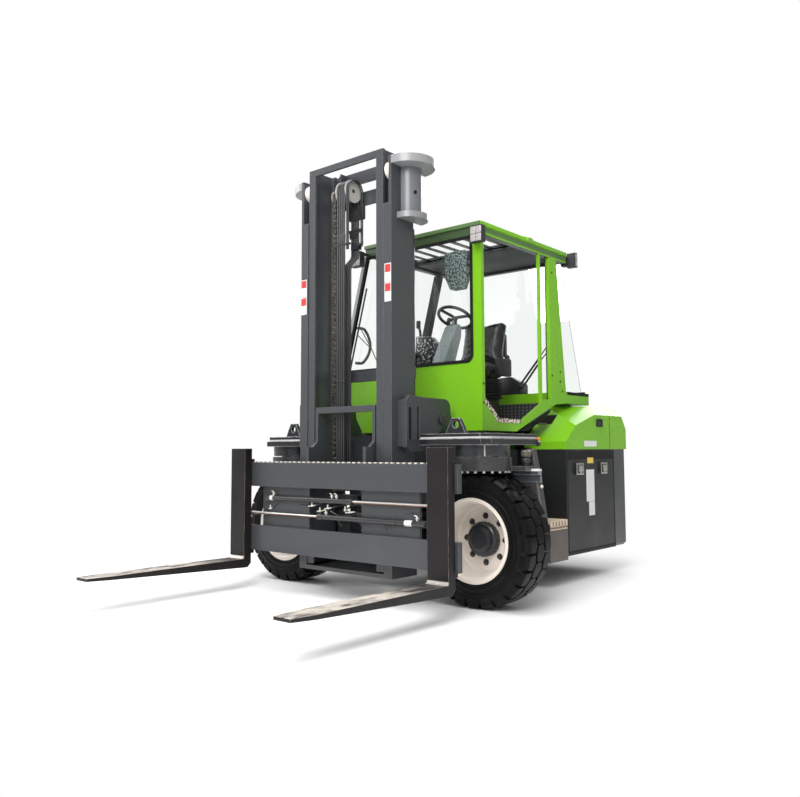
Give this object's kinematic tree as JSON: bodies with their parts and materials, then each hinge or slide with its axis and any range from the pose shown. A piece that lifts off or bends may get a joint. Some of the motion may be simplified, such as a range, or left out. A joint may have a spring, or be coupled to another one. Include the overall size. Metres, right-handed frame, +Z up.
{
  "type": "multidirectional forklift",
  "caption": "Electric counterbalance forklift with steerable front wheels set for sideways travel, a tilting two-stage mast, fork positioners and an open cab.",
  "frame": {"origin": "on the ground under the middle of the truck's outline", "axes": "+X to the truck's left, the forks point to -Y, +Z up"},
  "size_m": [2.6479, 3.967, 3.066],
  "materials": {
    "green_paint": "gloss",
    "steel_paint": "satin",
    "black_paint": "satin",
    "fork_steel": "matte",
    "bright_rod": "polished",
    "cream_rim": "gloss",
    "tyre_rubber": "matte",
    "chain_steel": "oiled",
    "roller_steel": "satin",
    "seat_vinyl": "satin",
    "dark_plastic": "matte",
    "glass": "clear",
    "lamp_lens": "gloss"
  },
  "bodies": {
    "fork_left": {"fork_left": "fork_steel", "positioner_rod_left": "bright_rod"},
    "fork_right": {"fork_right": "fork_steel", "positioner_rod_right": "bright_rod"},
    "carriage": {"carriage_frame": "steel_paint", "carriage_rollers": "roller_steel", "positioner_barrels": "black_paint"},
    "mast_outer": {"mast_outer_rails": "steel_paint", "mast_pivot_plates": "steel_paint", "mast_top_brackets": "steel_paint", "lift_barrels": "black_paint", "mast_top_rollers": "roller_steel"},
    "mast_inner": {"mast_inner_rails": "steel_paint", "lift_rods": "bright_rod", "chain_sheaves": "roller_steel", "lift_chains": "chain_steel", "mast_hoses": "dark_plastic"},
    "tilt_barrels": {"tilt_barrels": "black_paint"},
    "tilt_rods": {"tilt_rods": "bright_rod"},
    "chassis": {"deck_and_drums": "black_paint", "main_frame": "steel_paint", "mast_pivot_cheeks": "steel_paint", "battery_housings": "steel_paint", "counterweight": "steel_paint", "entry_steps": "steel_paint", "mast_pivot_pins": "bright_rod", "battery_packs": "dark_plastic", "control_box": "dark_plastic", "steering_column": "dark_plastic", "seat_base": "dark_plastic", "side_hoods": "green_paint", "cab_front_wall": "green_paint", "cab_left_side": "green_paint", "cab_right_side": "green_paint", "overhead_guard": "green_paint", "rear_ledge": "green_paint", "cab_floor": "steel_paint", "cab_mounts": "black_paint", "windscreen": "glass", "rear_glass": "glass", "seat_cushion": "seat_vinyl", "seat_back": "seat_vinyl", "work_lamps": "lamp_lens"},
    "battery_door_left": {"battery_door_left": "steel_paint"},
    "battery_door_right": {"battery_door_right": "steel_paint"},
    "rear_hood": {"rear_hood": "green_paint"},
    "steering_wheel": {"steering_wheel": "dark_plastic"},
    "wheel_left": {"tyre_left": "tyre_rubber", "rim_left": "cream_rim", "hub_left": "black_paint"},
    "steer_left": {"yoke_left": "black_paint", "steering_motor_left": "black_paint"},
    "wheel_right": {"tyre_right": "tyre_rubber", "rim_right": "cream_rim", "hub_right": "black_paint"},
    "steer_right": {"yoke_right": "black_paint", "steering_motor_right": "black_paint"},
    "wheel_rear": {"rear_tyres": "tyre_rubber", "rear_rims": "cream_rim"},
    "steer_rear": {"rear_yoke": "black_paint"}
  },
  "joints": [
    {"name": "left_steering", "type": "hinge", "parent": "chassis", "child": "steer_left", "pos_m": [0.896, -0.1915, 1], "axis": [0, 0, 1], "range_deg": [-10, 100]},
    {"name": "right_steering", "type": "hinge", "parent": "chassis", "child": "steer_right", "pos_m": [-0.896, -0.1915, 1], "axis": [0, 0, 1], "range_deg": [-100, 10]},
    {"name": "rear_steering", "type": "hinge", "parent": "chassis", "child": "steer_rear", "pos_m": [0, 1.3535, 0.74], "axis": [0, 0, 1], "range_deg": [-100, 100]},
    {"name": "left_wheel_spin", "type": "hinge", "parent": "steer_left", "child": "wheel_left", "pos_m": [0.896, -0.1915, 0.428], "axis": [0, 1, 0], "continuous": true},
    {"name": "right_wheel_spin", "type": "hinge", "parent": "steer_right", "child": "wheel_right", "pos_m": [-0.896, -0.1915, 0.428], "axis": [0, 1, 0], "continuous": true},
    {"name": "rear_wheel_spin", "type": "hinge", "parent": "steer_rear", "child": "wheel_rear", "pos_m": [0, 1.3535, 0.3], "axis": [0, 1, 0], "continuous": true},
    {"name": "mast_tilt", "type": "hinge", "parent": "chassis", "child": "mast_outer", "pos_m": [0, -0.1305, 1.214], "axis": [1, 0, 0], "range_deg": [-4, 1.5]},
    {"name": "mast_lift", "type": "slide", "parent": "mast_outer", "child": "mast_inner", "axis": [0, 0, 1], "range_m": [0, 1.65]},
    {"name": "carriage_lift", "type": "slide", "parent": "mast_inner", "child": "carriage", "axis": [0, 0, 1], "range_m": [0, 1.65]},
    {"name": "left_fork_shift", "type": "slide", "parent": "carriage", "child": "fork_left", "axis": [1, 0, 0], "range_m": [-0.7, 0.015]},
    {"name": "right_fork_shift", "type": "slide", "parent": "carriage", "child": "fork_right", "axis": [1, 0, 0], "range_m": [-0.085, 0.7]},
    {"name": "tilt_barrel_pivot", "type": "hinge", "parent": "chassis", "child": "tilt_barrels", "pos_m": [0, 0.1035, 0.52], "axis": [1, 0, 0], "range_deg": [-1.8, 0.8]},
    {"name": "tilt_rod_slide", "type": "slide", "parent": "tilt_barrels", "child": "tilt_rods", "axis": [0, -1, 0], "range_m": [-0.02, 0.05]},
    {"name": "left_battery_door", "type": "hinge", "parent": "chassis", "child": "battery_door_left", "pos_m": [0.892, -0.7765, 0.2233], "axis": [0, 1, 0], "range_deg": [0, 90]},
    {"name": "right_battery_door", "type": "hinge", "parent": "chassis", "child": "battery_door_right", "pos_m": [-0.892, -0.7765, 0.2233], "axis": [0, -1, 0], "range_deg": [0, 90]},
    {"name": "rear_hood_lid", "type": "hinge", "parent": "chassis", "child": "rear_hood", "pos_m": [0, 1.7435, 1.358], "axis": [1, 0, 0], "range_deg": [0, 60]},
    {"name": "steering_wheel_spin", "type": "hinge", "parent": "chassis", "child": "steering_wheel", "pos_m": [0.06, 0.6575, 2.083], "axis": [0, 0.5, 0.866], "continuous": true}
  ],
  "couplings": [
    {"joint": "carriage_lift", "follows": "mast_lift", "ratio": 1},
    {"joint": "tilt_barrel_pivot", "follows": "mast_tilt", "ratio": 0.384},
    {"joint": "tilt_rod_slide", "follows": "mast_tilt", "m_per_rad": -0.694}
  ]
}
